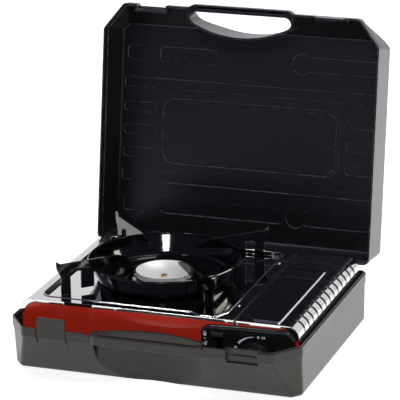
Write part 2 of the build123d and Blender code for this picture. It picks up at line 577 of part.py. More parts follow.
def partition():
    """The steel wall beside the bay. It carries the top plate and the cover's pins."""
    y0, y1 = BODY_FRONT + SHEET, BODY_BACK - SHEET
    x1 = WALL_X + SHEET
    top = TOP_Z - SHEET
    wall = block((WALL_X, x1), (y0, y1), (BODY_Z + SHEET, top))
    wall += block((TRAY_RIGHT + 2 * SHEET, x1), (y0, y1), (top - SHEET, top))
    ear = Pos(COVER_AXIS_X, COVER_AXIS_Z) * Circle(COVER_EAR_R)
    foot_z = COVER_AXIS_Z - 3 * COVER_EAR_R
    ear += Polygon((WALL_X, foot_z), (COVER_AXIS_X + COVER_EAR_R, foot_z), (COVER_AXIS_X + COVER_EAR_R, COVER_AXIS_Z),
                   (WALL_X, COVER_AXIS_Z), align=None)
    for front in (y0, y1 - 2 * SHEET):
        wall += run(ear, front, front + 2 * SHEET) - keep_side(cover_notch(), x1, COVER_AXIS_X)
    wall -= cover_axis(COVER_PIN_R)
    for y in STUD_YS:
        wall += rod((x1, y, STUD_Z), (x1 + CARRIAGE_GAP + 2 * CARRIAGE_T, y, STUD_Z), STUD_R)
    for y in RIVET_YS:
        wall -= Pos(RIVET_X, y, top) * Cylinder(RIVET_SHANK, 4 * SHEET)
    drive_y = 2 * (DRIVE_SWING + LEVER_PIN_R + SLOT_SIDE)
    wall -= Pos(WALL_X, LEVER_PIVOT_Y, DRIVE_Z) * Box(4 * SHEET, drive_y, 4 * LEVER_PIN_R)
    wall -= Pos(WALL_X, PIPE_Y + LEAD_BACK, IGNITER_Z) * Rot(0, 90, 0) * Cylinder(2 * LEAD_R, 4 * SHEET)
    wall -= rod((0, PIPE_Y, PIPE_Z), (CAN_X, PIPE_Y, PIPE_Z), 2 * PIPE_R)
    wall -= block((0, CAN_X), (HEAT_Y0 - SHEET, HEAT_Y1 + SHEET), (0, BODY_Z + SHEET + 2 * HEAT_T))
    return wall


def rivets():
    """Round-headed rivets that hold the top plate to the partition."""
    shank_low = TOP_Z - 3 * SHEET
    head = [(0, TOP_Z), (RIVET_R, TOP_Z), (RIVET_R * 0.7, TOP_Z + SHEET), (0, TOP_Z + SHEET)]
    rivet = turned(head) + Pos(0, 0, (shank_low + TOP_Z) / 2) * Cylinder(RIVET_SHANK, TOP_Z - shank_low)
    return [Pos(RIVET_X, y, 0) * rivet for y in RIVET_YS]


def heat_plate():
    """The aluminium strip that carries warmth from the burner to the cartridge."""
    low = BODY_Z + SHEET
    y = (HEAT_Y0, HEAT_Y1)
    strip = block((HEAT_X0, CAN_X + CAN_R), y, (low, low + HEAT_T))
    return strip + block((HEAT_X0, HEAT_X0 + HEAT_T), y, (low, HEAT_TOP_Z))


# ---------------------------------------------------------------- burner
def burner_base():
    """The cup under the burner head, on its neck."""
    cup_z = HEAD_LOW_Z - CUP_H
    return turned(
        [(0, NECK_LOW_Z), (NECK_R, NECK_LOW_Z), (NECK_R, cup_z), (CUP_R, cup_z), (CUP_R, HEAD_LOW_Z),
         (0, HEAD_LOW_Z)],
        BURNER,
    )


def burner_head():
    """The cast head: a shallow dish with flame ports round its side."""
    low = HEAD_RIM_Z - DISH_DEPTH
    side_z = HEAD_RIM_Z - PORT_H - 2 * DISH_LIP
    form = [
        (0, HEAD_LOW_Z), (HEAD_FOOT_R, HEAD_LOW_Z), (HEAD_R - PORT_DEEP / 2, side_z),
        (HEAD_R, side_z), (HEAD_R, HEAD_RIM_Z), (0, HEAD_RIM_Z),
    ]
    head = turned(form) - Pos(0, 0, HEAD_RIM_Z - DISH_DEPTH / 2) * Cylinder(SCREW_R + BODY_GAP, DISH_DEPTH)
    rim = HEAD_R - DISH_LIP
    above = HEAD_RIM_Z + DISH_DEPTH
    curve = TangentArc((0, low), (rim, HEAD_RIM_Z), tangent=(1, 0))
    bowl = make_face(curve + Polyline((rim, HEAD_RIM_Z), (rim, above), (0, above), (0, low)))
    head -= revolve(Plane.XZ * bowl, Axis.Z)
    port = Pos(HEAD_R, 0, side_z + PORT_H / 2 + DISH_LIP) * Box(2 * PORT_DEEP, PORT_W, PORT_H)
    for index in range(PORTS):
        head -= Rot(0, 0, index * 360 / PORTS) * port
    return BURNER * head


def burner_screw():
    """The slotted screw in the middle of the dish."""
    low = HEAD_RIM_Z - DISH_DEPTH
    screw = Pos(0, 0, low + SCREW_H / 2) * Cylinder(SCREW_R, SCREW_H)
    screw = chamfer(screw.edges().group_by(Axis.Z)[-1], SCREW_H / 3)
    return BURNER * (screw - Pos(0, 0, low + SCREW_H) * Box(2 * SCREW_R, SCREW_R / 4, SCREW_H / 2))


def burner_bracket():
    """The folded stand between bottom plate and burner base."""
    low, high = BODY_Z + SHEET, NECK_LOW_Z
    half, depth = BRACKET_W / 2, BRACKET_D / 2
    hat = block((-half, half), (-depth, depth), (low, high))
    hat -= block((SHEET - half, half - SHEET), (-BRACKET_D, BRACKET_D), (0, high - SHEET))
    for side in (-1, 1):
        x = sorted((side * (half - SHEET), side * (half + LEG_W)))
        hat += block(x, (-depth, depth), (low, low + SHEET))
    return BURNER * hat


def gas_line():
    """The jet's centre, the neck's centre and the direction from one to the other."""
    jet, neck = Vector(JET_X, PIPE_Y, PIPE_Z), Vector(BURNER_X, BURNER_Y, TUBE_END_Z)
    return jet, neck, (neck - jet).normalized()


def mixing_tube():
    """The tube that takes gas and air from the jet to the burner's neck."""
    jet, neck, aim = gas_line()
    mouth = jet + aim * BELL_SET
    seat = (Align.CENTER, Align.CENTER, Align.MIN)
    tube = rod(mouth, neck, TUBE_R) + Plane(mouth, z_dir=aim) * Cone(BELL_R, TUBE_R, BELL_L, align=seat)
    bore = BELL_R - TUBE_WALL, TUBE_R - TUBE_WALL
    tube -= Plane(mouth, z_dir=aim) * Cone(*bore, BELL_L, align=seat)
    tube -= rod(mouth, neck, TUBE_R - TUBE_WALL)
    return tube - BURNER * Pos(0, 0, TUBE_END_Z) * Cylinder(NECK_R, TOP_Z)


def electrode_place(distance=ELECTRODE_R_FROM):
    """A point beside the burner, on the electrode's side."""
    turn = radians(ELECTRODE_ANGLE)
    return BURNER_X + distance * cos(turn), BURNER_Y + distance * sin(turn)


def electrode():
    """The spark electrode: a ceramic sleeve round a steel wire, bent to the burner."""
    x, y = electrode_place()
    low, high = HEAD_LOW_Z - 2 * CUP_H, HEAD_RIM_Z - 4 * DISH_LIP
    sleeve = rod((x, y, low), (x, y, high), CERAMIC_R)
    inner = electrode_place(HEAD_R + 2 * WIRE_R)
    wire_z = HEAD_RIM_Z - DISH_LIP
    wire = rod((x, y, high), (x, y, wire_z), WIRE_R) + rod((x, y, wire_z), (*inner, wire_z), WIRE_R)
    return sleeve, wire + Pos(x, y, wire_z) * Sphere(WIRE_R)


def electrode_bracket():
    """The small plate that holds the electrode on the burner base."""
    z = HEAD_LOW_Z - CUP_H
    plate = block((0, ELECTRODE_R_FROM + 2 * CERAMIC_R), (-2 * CERAMIC_R, 2 * CERAMIC_R), (z, z + 2 * SHEET))
    plate = BURNER * (Rot(0, 0, ELECTRODE_ANGLE) * plate) - BURNER * Pos(0, 0, z) * Cylinder(CUP_R, 4 * CUP_H)
    x, y = electrode_place()
    return plate - rod((x, y, 0), (x, y, TOP_Z), CERAMIC_R)


# ---------------------------------------------------------------- pan support
def support_arm(angle):
    """One arm: a plate with a horn at its tip and a window over its leg."""
    leg_in = ARM_FOOT - LEG_W
    foot_z = TRAY_Z + ARM_SEAT
    waist_z = (foot_z + ARM_TOP_Z) / 2
    top = Polyline((ARM_IN, ARM_IN_Z), (ARM_IN + ARM_RAMP, ARM_TOP_Z), (ARM_FOOT, ARM_TOP_Z), (ARM_OUT, HORN_Z))
    neck = (ARM_OUT - HORN_LEAN, ARM_TOP_Z - HORN_NECK)
    side = Spline((ARM_OUT, HORN_Z), neck, (ARM_FOOT, waist_z), tangents=((0, -1), (0, -1)))
    leg = Polyline((ARM_FOOT, waist_z), (ARM_FOOT, foot_z), (leg_in, foot_z), (leg_in, ARCH_TOP_Z - ARCH_R))
    bend = ThreePointArc(
        (leg_in, ARCH_TOP_Z - ARCH_R),
        (leg_in - ARCH_R * (1 - cos(radians(45))), ARCH_TOP_Z - ARCH_R * (1 - sin(radians(45)))),
        (leg_in - ARCH_R, ARCH_TOP_Z),
    )
    inner = Polyline(
        (leg_in - ARCH_R, ARCH_TOP_Z), (ARCH_IN, ARCH_TOP_Z), (ARCH_IN, WEB_LOW_Z), (RING_R, WEB_LOW_Z),
        (RING_R, ARM_LOW_Z), (ARM_IN, ARM_IN_Z - ARM_T), (ARM_IN, ARM_IN_Z),
    )
    outline = make_face(top + side + leg + bend + inner)
    across = Plane((BURNER_X, BURNER_Y, 0), x_dir=(cos(angle), sin(angle), 0), z_dir=(sin(angle), -cos(angle), 0))
    return extrude(across.offset(-ARM_T / 2) * outline, ARM_T)


def support_ring(arms):
    """The enamelled bowl that screens the flame, slotted for its arms."""
    floor_z = TRAY_Z + RING_SEAT + RING_SHEET / 2
    lip = (RING_R - RING_ROLL, RING_TOP_Z - RING_ROLL)
    path = Polyline(
        (BOWL_R, floor_z + BOWL_RISE), (RING_FOOT_R - RING_BEND, floor_z),
        (RING_FOOT_R, floor_z + RING_BEND / 3), (RING_FOOT_R + RING_BEND, floor_z + 4 * RING_BEND / 3), lip,
    )
    profile = trace(path, RING_SHEET) + Pos(*lip) * RegularPolygon(RING_ROLL, 8)
    ring = BURNER * revolve(Plane.XZ * profile, Axis.Z)
    for arm in arms:
        ring -= arm
    return ring


# ---------------------------------------------------------------- controls
def control_panel():
    """The black moulding round the knob, with a sunk dial and the lever's slot."""
    panel = run(console_plan(), CONSOLE_FRONT, BODY_FRONT)
    panel = fillet(panel.faces().sort_by(Axis.Y)[0].edges(), CONSOLE_T / 2)
    panel -= knob_axis(CONSOLE_FRONT - SHEET, CONSOLE_FRONT + DIAL_SUNK, DIAL_R)
    panel -= lever_slot()
    return panel - knob_axis(CONSOLE_FRONT, BODY_FRONT, SHAFT_R + SHAFT_FIT)


def knob():
    """The control knob: a skirt, a fluted body and a finger bar across it."""
    back = CONSOLE_FRONT - KNOB_BACK + DIAL_SUNK
    front = CONSOLE_FRONT - KNOB_L
    waist = back - KNOB_SKIRT_L
    face = front + KNOB_SKIRT_L
    form = knob_axis(waist, back, KNOB_R)
    form = chamfer(form.edges().group_by(Axis.Y)[0], SHEET)
    form += knob_axis(face, waist, KNOB_BODY_R)
    for index in range(KNOB_FLUTES):
        turn = radians(index * 360 / KNOB_FLUTES)
        x, z = KNOB_X + KNOB_BODY_R * cos(turn), KNOB_Z + KNOB_BODY_R * sin(turn)
        form -= rod((x, face, z), (x, waist - SHEET, z), FLUTE_R)
    bar = Pos(KNOB_X, KNOB_Z) * RectangleRounded(KNOB_GRIP_W, 2 * KNOB_BODY_R, KNOB_GRIP_W / 2.2)
    form += run(bar, front, face)
    return form - knob_axis(front + 2 * SHEET, back, SHAFT_R)


def valve_shaft():
    """The shaft from the knob into the regulator."""
    return knob_axis(CONSOLE_FRONT - KNOB_L + 2 * SHEET, REG_FRONT + 2 * REG_FLANGE_T, SHAFT_R)


def regulator():
    """The die-cast regulator with the socket for the cartridge's collar."""
    place = Pos(CAN_X, 0, CAN_Z)
    body = place * rod((0, REG_FRONT, 0), (0, REG_BACK, 0), REG_R)
    body += place * rod((0, REG_BACK, 0), (0, REG_BACK + REG_FLANGE_T, 0), REG_FLANGE_R)
    socket_end = REG_BACK + REG_FLANGE_T + SOCKET_L
    body += place * rod((0, REG_BACK, 0), (0, socket_end, 0), SOCKET_R + SOCKET_WALL)
    body -= place * rod((0, REG_BACK, 0), (0, socket_end, 0), SOCKET_R)
    body += place * rod((0, REG_BACK, 0), (0, socket_end - SOCKET_WALL, 0), SOCKET_WALL)
    for height in (-REG_R / 2, 0, REG_R / 2):
        body += place * Pos(0, (REG_FRONT + REG_BACK) / 2, height) * Box(
            2 * REG_R + 2 * SHEET, (REG_BACK - REG_FRONT) / 2, 2 * SHEET)
    body += block((CAN_X - REG_LEG / 2, CAN_X + REG_LEG / 2), (REG_FRONT, REG_BACK), (BODY_Z + SHEET, CAN_Z))
    body -= knob_axis(REG_FRONT, REG_FRONT + 3 * REG_FLANGE_T, SHAFT_R + SHAFT_FIT)
    return body - rod((0, PIPE_Y, PIPE_Z), (CAN_X, PIPE_Y, PIPE_Z), PIPE_R)


def gas_pipe():
    """The brass pipe from the regulator, with the jet block at its end."""
    jet, _, aim = gas_line()
    pipe = rod(jet, (CAN_X - REG_R / 2, PIPE_Y, PIPE_Z), PIPE_R)
    jet_block = Pos(jet) * Cylinder(JET_R + SHEET, 2 * JET_R + SHEET)
    return pipe + jet_block + rod(jet, jet + aim * JET_L, JET_R - TUBE_WALL)


def lever_spin():
    """The turn from a level lever to the lever at rest, with its tab up."""
    pivot = Pos(0, LEVER_PIVOT_Y, LEVER_PIVOT_Z)
    return pivot * Rot(-LEVER_TILT, 0, 0) * pivot.inverse()


def lock_lever():
    """The lock lever: a thumb tab, a long arm and a crank arm with its drive pin."""
    x = (LEVER_X - LEVER_T / 2, LEVER_X + LEVER_T / 2)
    half = LEVER_BAR / 2
    front = LEVER_PIVOT_Y - LEVER_REACH
    arm = block(x, (front, LEVER_PIVOT_Y), (LEVER_PIVOT_Z - half / 2, LEVER_PIVOT_Z + half / 2))
    arm += block(x, (LEVER_PIVOT_Y - half, LEVER_PIVOT_Y + half), (LEVER_PIVOT_Z, DRIVE_Z))
    arm += rod((x[0], LEVER_PIVOT_Y, LEVER_PIVOT_Z), (x[1], LEVER_PIVOT_Y, LEVER_PIVOT_Z), half + LEVER_PIN_R)
    arm += rod((x[0], LEVER_PIVOT_Y, DRIVE_Z), (x[1], LEVER_PIVOT_Y, DRIVE_Z), half)
    tab = block(
        (LEVER_X - TAB_W / 2, LEVER_X + TAB_W / 2), (front - TAB_L, front),
        (LEVER_PIVOT_Z - TAB_H / 2, LEVER_PIVOT_Z + TAB_H / 2),
    )
    arm += fillet(tab.edges().group_by(Axis.Y)[0], SHEET)
    drive_end = WALL_X + SHEET + CARRIAGE_GAP + 2 * CARRIAGE_T
    arm += rod((x[0], LEVER_PIVOT_Y, DRIVE_Z), (drive_end, LEVER_PIVOT_Y, DRIVE_Z), LEVER_PIN_R)
    arm -= lever_pivot(LEVER_PIN_FIT)
    return lever_spin() * arm


def lever_pivot(grow=0.0):
    """The pin that the lock lever turns on, fixed in the partition."""
    start = (LEVER_X - LEVER_T, LEVER_PIVOT_Y, LEVER_PIVOT_Z)
    return rod(start, (WALL_X, LEVER_PIVOT_Y, LEVER_PIVOT_Z), LEVER_PIN_R + grow)


def lock_carriage():
    """The sliding fork that draws the cartridge's collar against the regulator."""
    x0 = WALL_X + SHEET + CARRIAGE_GAP
    x = (x0, x0 + CARRIAGE_T)
    plate = block(x, (CARRIAGE_Y0, CARRIAGE_Y1), (CARRIAGE_Z0, CARRIAGE_Z1))
    room = (x0 - SHEET, x0 + 2 * CARRIAGE_T)
    half, travel = STUD_R + CARRIAGE_PLAY, 2 * DRIVE_SWING
    for y in STUD_YS:
        plate -= block(room, (y - half, y + travel + half), (STUD_Z - half, STUD_Z + half))
    rise = LEVER_ARM * (1 - cos(radians(LEVER_TILT)))
    drive_y, half = LEVER_PIVOT_Y + DRIVE_SWING, LEVER_PIN_R + CARRIAGE_PLAY / 2
    plate -= block(room, (drive_y - half, drive_y + half), (DRIVE_Z - half - rise, DRIVE_Z + half))
    fork_z = (CARRIAGE_Z0, CAN_Z + SOCKET_R)
    fork = block((x0, CAN_X - SOCKET_R - 2 * SOCKET_WALL), (CARRIAGE_Y1 - CARRIAGE_T, CARRIAGE_Y1), fork_z)
    return plate + fork


def igniter():
    """The piezo igniter beside the knob."""
    y = BODY_FRONT + SHEET
    case = rod((IGNITER_X, y, IGNITER_Z), (IGNITER_X, y + IGNITER_L, IGNITER_Z), IGNITER_R)
    return case + rod((IGNITER_X, y, IGNITER_Z), (IGNITER_X, y + IGNITER_L / 6, IGNITER_Z), IGNITER_R + 2 * SHEET)


def igniter_lead():
    """The lead from the igniter through the partition to the foot of the electrode."""
    x, y = electrode_place()
    turn_y = PIPE_Y + LEAD_BACK
    low = HEAD_LOW_Z - 2 * CUP_H
    path = FilletPolyline(
        (IGNITER_X, BODY_FRONT + SHEET + IGNITER_L, IGNITER_Z), (IGNITER_X, turn_y, IGNITER_Z),
        (x, turn_y, IGNITER_Z), (x, y, IGNITER_Z), (x, y, low), radius=LEAD_BEND,
    )
    return sweep(path.location_at(0) * Circle(LEAD_R), path=path)


# ---------------------------------------------------------------- the whole stove
base = case_half()
form = top_form()
arms = [support_arm(radians(45 + 90 * quarter)) for quarter in range(4)]
sleeve, spark_wire = electrode()
NODES = {
    "case_base": base,
    "case_lid": case_lid(base),
    "case_hinge_pins": hinge_pins(),
    "body_shell": body_shell(),
    "bottom_plate": bottom_plate(),
    "stove_feet": stove_feet(),
    "top_plate": top_plate(form),
    "bay_partition": partition(),
    "plate_rivets": rivets(),
    "heat_plate": heat_plate(),
    "cartridge_cover": cartridge_cover(form),
    "cover_hinge_pins": cover_pins(),
    "control_panel": control_panel(),
    "control_knob": knob(),
    "valve_shaft": valve_shaft(),
    "regulator": regulator(),
    "gas_pipe": gas_pipe(),
    "lock_lever": lock_lever(),
    "lever_pivot_pin": lever_pivot(),
    "lock_carriage": lock_carriage(),
    "piezo_igniter": igniter(),
    "igniter_lead": igniter_lead(),
    "burner_bracket": burner_bracket(),
    "burner_base": burner_base(),
    "mixing_tube": mixing_tube(),
    "burner_head": burner_head(),
    "burner_screw": burner_screw(),
    "electrode_bracket": electrode_bracket(),
    "electrode_ceramic": sleeve,
    "electrode_wire": spark_wire,
    "pan_support_ring": support_ring(arms),
    "pan_support_arms": arms,
}

os.makedirs("parts", exist_ok=True)
for name, shape in NODES.items():
    if isinstance(shape, list):
        shape = Compound(children=[solid for piece in shape for solid in piece.solids()])
    export_step(shape, f"parts/{name}.step")
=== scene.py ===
from math import cos, pi, radians, sin

import bmesh
import bpy
from mathutils import Matrix, Vector
from mathutils.geometry import tessellate_polygon


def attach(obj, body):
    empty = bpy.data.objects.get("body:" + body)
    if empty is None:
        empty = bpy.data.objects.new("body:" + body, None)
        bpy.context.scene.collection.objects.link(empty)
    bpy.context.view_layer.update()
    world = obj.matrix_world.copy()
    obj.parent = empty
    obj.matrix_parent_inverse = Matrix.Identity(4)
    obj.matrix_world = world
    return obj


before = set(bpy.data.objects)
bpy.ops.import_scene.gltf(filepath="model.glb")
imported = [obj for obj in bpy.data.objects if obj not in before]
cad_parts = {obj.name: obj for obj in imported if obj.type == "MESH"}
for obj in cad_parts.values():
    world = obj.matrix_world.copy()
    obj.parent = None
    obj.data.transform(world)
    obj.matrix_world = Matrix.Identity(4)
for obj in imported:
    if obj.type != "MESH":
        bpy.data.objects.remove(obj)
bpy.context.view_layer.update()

WHITE = (1.0, 1.0, 1.0)
MM = 0.001                                   # the pieces are drawn in mm


# ---------------------------------------------------------------- shared effects
def effect(name, inputs, output):
    """An empty node group: (group, its input node, its output socket, its links)."""
    group = bpy.data.node_groups.new(name, "ShaderNodeTree")
    for label, value in inputs.items():
        socket = group.interface.new_socket(label, in_out="INPUT", socket_type="NodeSocketFloat")
        socket.default_value = value
    group.interface.new_socket(output, in_out="OUTPUT", socket_type="NodeSocketFloat")
    start = group.nodes.new("NodeGroupInput")
    end = group.nodes.new("NodeGroupOutput")
    return group, start, end.inputs[0], group.links


def feed(tree, socket, value):
    """Joins a socket to another socket, or sets it to a plain value."""
    if value is None:
        return
    if isinstance(value, bpy.types.NodeSocket):
        tree.links.new(value, socket)
    else:
        socket.default_value = value


def maths(tree, kind, first, second, clamp=False):
    """A Math node fed by two sockets or numbers; gives its output socket."""
    node = tree.nodes.new("ShaderNodeMath")
    node.operation = kind
    node.use_clamp = clamp
    for socket, value in zip(node.inputs, (first, second)):
        feed(tree, socket, value)
    return node.outputs[0]


def times(tree, *factors):
    """The product of sockets or numbers."""
    product = factors[0]
    for factor in factors[1:]:
        product = maths(tree, "MULTIPLY", product, factor)
    return product


def noise(tree, scale, detail=4.0, stretch=None, rough=0.5):
    """Noise in the object's own coordinates; stretch scales X, Y and Z."""
    place = tree.nodes.new("ShaderNodeTexCoord").outputs["Object"]
    if stretch:
        mapping = tree.nodes.new("ShaderNodeMapping")
        mapping.inputs["Scale"].default_value = stretch
        tree.links.new(place, mapping.inputs["Vector"])
        place = mapping.outputs["Vector"]
    made = tree.nodes.new("ShaderNodeTexNoise")
    tree.links.new(place, made.inputs["Vector"])
    feed(tree, made.inputs["Scale"], scale)
    made.inputs["Detail"].default_value = detail
    made.inputs["Roughness"].default_value = rough
    return made.outputs["Fac"]


def spread(tree, value, low, high, to_low=0.0, to_high=1.0):
    """Maps a value's range to another, clamped."""
    node = tree.nodes.new("ShaderNodeMapRange")
    for socket, number in zip(node.inputs, (value, low, high, to_low, to_high)):
        feed(tree, socket, number)
    return node.outputs["Result"]


def moulded_grain():
    """The fine spark-eroded grain of a moulding, as a height."""
    coarser, coarse_share = 0.12, 0.7
    group, start, end, links = effect("moulded grain", {"Scale": 900.0}, "Height")
    fine = noise(group, start.outputs["Scale"], detail=3.0)
    coarse = noise(group, times(group, start.outputs["Scale"], coarser), detail=2.0)
    links.new(maths(group, "ADD", fine, times(group, coarse, coarse_share)), end)
    return group


def rubbed_and_highlit_edges():
    """A mask of the corners, broken up by noise: corners that rub bright, and painted highlights
    along the lid's relief edges.
    """
    group, start, end, links = effect("rubbed and highlit edges", {"Width": 0.0012, "Amount": 1.0}, "Mask")
    bevel = group.nodes.new("ShaderNodeBevel")
    bevel.samples = 4
    links.new(start.outputs["Width"], bevel.inputs["Radius"])
    flat = group.nodes.new("ShaderNodeNewGeometry").outputs["True Normal"]
    dot = group.nodes.new("ShaderNodeVectorMath")
    dot.operation = "DOT_PRODUCT"
    links.new(bevel.outputs["Normal"], dot.inputs[0])
    links.new(flat, dot.inputs[1])
    turned_away = spread(group, dot.outputs["Value"], low=0.97, high=0.75)
    patchy = spread(group, noise(group, scale=160.0, detail=5.0), low=0.42, high=0.62)
    links.new(times(group, turned_away, patchy, start.outputs["Amount"]), end)
    return group


def fine_scratches():
    """A mask of hairline scratches in several directions."""
    group, start, end, links = effect("fine scratches", {"Scale": 30.0, "Amount": 1.0}, "Mask")
    total = 0.0
    for stretch in ((1.0, 40.0, 8.0), (40.0, 1.0, 8.0), (18.0, 30.0, 3.0)):
        lines = noise(group, start.outputs["Scale"], detail=2.0, stretch=stretch)
        total = maths(group, "ADD", total, spread(group, lines, low=0.66, high=0.74))
    links.new(maths(group, "MULTIPLY", total, start.outputs["Amount"], clamp=True), end)
    return group


def settled_dust():
    """A mask of the light dust that settles on what faces up."""
    group, start, end, links = effect("settled dust", {"Amount": 0.2, "Scale": 45.0}, "Mask")
    upright = group.nodes.new("ShaderNodeSeparateXYZ")
    links.new(group.nodes.new("ShaderNodeNewGeometry").outputs["Normal"], upright.inputs[0])
    facing = spread(group, upright.outputs["Z"], low=0.3, high=1.0)
    cloud = noise(group, start.outputs["Scale"], detail=6.0, rough=0.65)
    patchy = spread(group, cloud, low=0.38, high=0.75)
    links.new(times(group, facing, patchy, start.outputs["Amount"]), end)
    return group


GRAIN, RUBBED_AND_HIGHLIT, SCRATCHES, DUST = moulded_grain(), rubbed_and_highlit_edges(), fine_scratches(), settled_dust()


# ---------------------------------------------------------------- finishes
class Finish:
    """A material under way: its tree, its shader, and the effects laid on it."""

    def __init__(self, name, colour, roughness, metallic=0.0, **sockets):
        self.material = bpy.data.materials.new(name)
        self.material.use_nodes = True
        self.tree = self.material.node_tree
        self.shader = self.tree.nodes["Principled BSDF"]
        self.colour, self.roughness = (*colour, 1.0), roughness
        self.height = None
        self.material.diffuse_color = self.colour
        self.set("Metallic", metallic)
        for label, value in sockets.items():
            self.set(label.replace("_", " "), value)

    def set(self, label, value):
        feed(self.tree, self.shader.inputs[label], value)

    def lay(self, group, **values):
        """Places a shared effect; gives its output socket."""
        node = self.tree.nodes.new("ShaderNodeGroup")
        node.node_tree = group
        for label, value in values.items():
            node.inputs[label].default_value = value
        return node.outputs[0]

    def noise(self, scale, detail):
        """Plain noise in this material."""
        return noise(self.tree, scale, detail)

    def tint(self, mask, colour):
        """Mixes a colour in where the mask is on."""
        mix = self.tree.nodes.new("ShaderNodeMix")
        mix.data_type = "RGBA"
        feed(self.tree, mix.inputs["Factor"], mask)
        feed(self.tree, mix.inputs["A"], self.colour)
        feed(self.tree, mix.inputs["B"], (*colour, 1.0))
        self.colour = mix.outputs["Result"]

    def roughen(self, mask, amount):
        """Adds to the roughness where the mask is on."""
        more = times(self.tree, mask, amount)
        self.roughness = maths(self.tree, "ADD", more, self.roughness)

    def raise_by(self, height, depth):
        """Adds to the relief; depth is in metres."""
        part = times(self.tree, height, depth)
        self.height = part if self.height is None else maths(self.tree, "ADD", self.height, part)

    def done(self, edge=0.0):
        """Joins everything up. Edge is the radius, in metres, that softens sharp corners."""
        self.set("Base Color", self.colour)
        self.set("Roughness", self.roughness)
        normal = None
        if edge:
            bevel = self.tree.nodes.new("ShaderNodeBevel")
            bevel.samples = 6
            bevel.inputs["Radius"].default_value = edge
            normal = bevel.outputs["Normal"]
        if self.height is not None:
            bump = self.tree.nodes.new("ShaderNodeBump")
            bump.inputs["Distance"].default_value = 1.0
            feed(self.tree, bump.inputs["Height"], self.height)
            feed(self.tree, bump.inputs["Normal"], normal)
            normal = bump.outputs["Normal"]
        self.set("Normal", normal)
        return self.material


def case_plastic(name="case plastic", painted_reflection_tint=(1.0, 0.98, 0.9, 1.0),
                 rub_and_highlight_colour=(0.07, 0.07, 0.072), rub_and_highlight_amount=0.5):
    # The gloss tint is a painted reflection: warm on the case's walls by default, bluish on the
    # lid.
    finish = Finish(name, colour=(0.0065, 0.0065, 0.0068), roughness=0.27, IOR=1.5,
                    Sheen_Weight=0.06, Sheen_Roughness=0.3, Sheen_Tint=(1.0, 0.97, 0.86, 1.0),
                    Specular_Tint=painted_reflection_tint)
    # The edge tint is rubbing on the case; on the lid, bright and bluish, it is painted highlights
    # along the relief edges.
    finish.tint(finish.lay(RUBBED_AND_HIGHLIT, Width=0.0014, Amount=rub_and_highlight_amount), colour=rub_and_highlight_colour)
    finish.tint(finish.lay(DUST, Amount=0.03), colour=(0.3, 0.29, 0.27))
    finish.roughen(finish.noise(scale=14.0, detail=5.0), amount=0.08)
    finish.raise_by(finish.lay(GRAIN, Scale=1500.0), depth=0.00002)
    return finish.done(edge=0.0013)


def red_enamel():
    finish = Finish("red enamel", colour=(0.72, 0.038, 0.018), roughness=0.2)
    finish.tint(finish.lay(RUBBED_AND_HIGHLIT, Width=0.0008, Amount=0.5), colour=(0.16, 0.01, 0.006))
    finish.roughen(finish.lay(SCRATCHES, Scale=26.0, Amount=0.4), amount=0.2)
    finish.raise_by(finish.noise(scale=240.0, detail=2.0), depth=0.00002)
    return finish.done(edge=0.0005)


def polished_steel():
    finish = Finish("polished steel", colour=(0.66, 0.66, 0.64), roughness=0.02, metallic=1.0)
    finish.roughen(finish.lay(SCRATCHES, Scale=22.0, Amount=0.6), amount=0.06)
    finish.roughen(finish.noise(scale=9.0, detail=4.0), amount=0.03)
    finish.raise_by(finish.noise(scale=22.0, detail=1.0), depth=0.00006)
    return finish.done(edge=0.0005)


def black_enamel():
    finish = Finish("black enamel", colour=(0.0025, 0.0025, 0.003), roughness=0.05)
    finish.raise_by(finish.noise(scale=130.0, detail=2.0), depth=0.00006)
    finish.roughen(finish.noise(scale=30.0, detail=5.0), amount=0.05)
    finish.tint(finish.lay(RUBBED_AND_HIGHLIT, Width=0.0008, Amount=0.35), colour=(0.05, 0.05, 0.052))
    return finish.done(edge=0.0007)


def console_plastic(name="console plastic", roughness=0.19):
    finish = Finish(name, colour=(0.012, 0.012, 0.013), roughness=roughness)
    finish.tint(finish.lay(RUBBED_AND_HIGHLIT, Width=0.0008, Amount=0.4), colour=(0.05, 0.05, 0.05))
    finish.roughen(finish.lay(SCRATCHES, Scale=34.0, Amount=0.6), amount=0.25)
    finish.raise_by(finish.noise(scale=300.0, detail=2.0), depth=0.00002)
    return finish.done(edge=0.0005)


def zinc_steel():
    finish = Finish("zinc steel", colour=(0.55, 0.56, 0.58), roughness=0.32, metallic=1.0)
    spangle = finish.tree.nodes.new("ShaderNodeTexVoronoi")
    spangle.inputs["Scale"].default_value = 110.0
    finish.roughen(spangle.outputs["Distance"], amount=0.2)
    finish.tint(finish.lay(SCRATCHES, Scale=18.0, Amount=0.4), colour=(0.36, 0.36, 0.38))
    return finish.done(edge=0.0003)


def burner_alloy():
    finish = Finish("burner alloy", colour=(0.90, 0.90, 0.87), roughness=0.34, metallic=0.35)
    finish.roughen(finish.noise(scale=60.0, detail=4.0), amount=0.12)
    stains = spread(finish.tree, finish.noise(scale=24.0, detail=5.0),
                    low=0.5, high=0.8, to_high=0.25)
    finish.tint(stains, colour=(0.66, 0.62, 0.55))
    finish.raise_by(finish.noise(scale=900.0, detail=2.0), depth=0.00002)
    return finish.done(edge=0.0004)


def cast_alloy():
    finish = Finish("cast alloy", colour=(0.48, 0.48, 0.49), roughness=0.45, metallic=0.9)
    finish.raise_by(finish.lay(GRAIN, Scale=800.0), depth=0.00008)
    return finish.done(edge=0.0005)


def plain_metal(name, colour, roughness):
    dulled = 0.6                             # the dust's colour, as a share of the metal's
    finish = Finish(name, colour, roughness, metallic=1.0)
    finish.roughen(finish.lay(SCRATCHES, Scale=60.0, Amount=0.8), amount=0.2)
    finish.tint(finish.lay(DUST, Amount=0.1, Scale=120.0), tuple(dulled * c for c in colour))
    return finish.done(edge=0.0003)


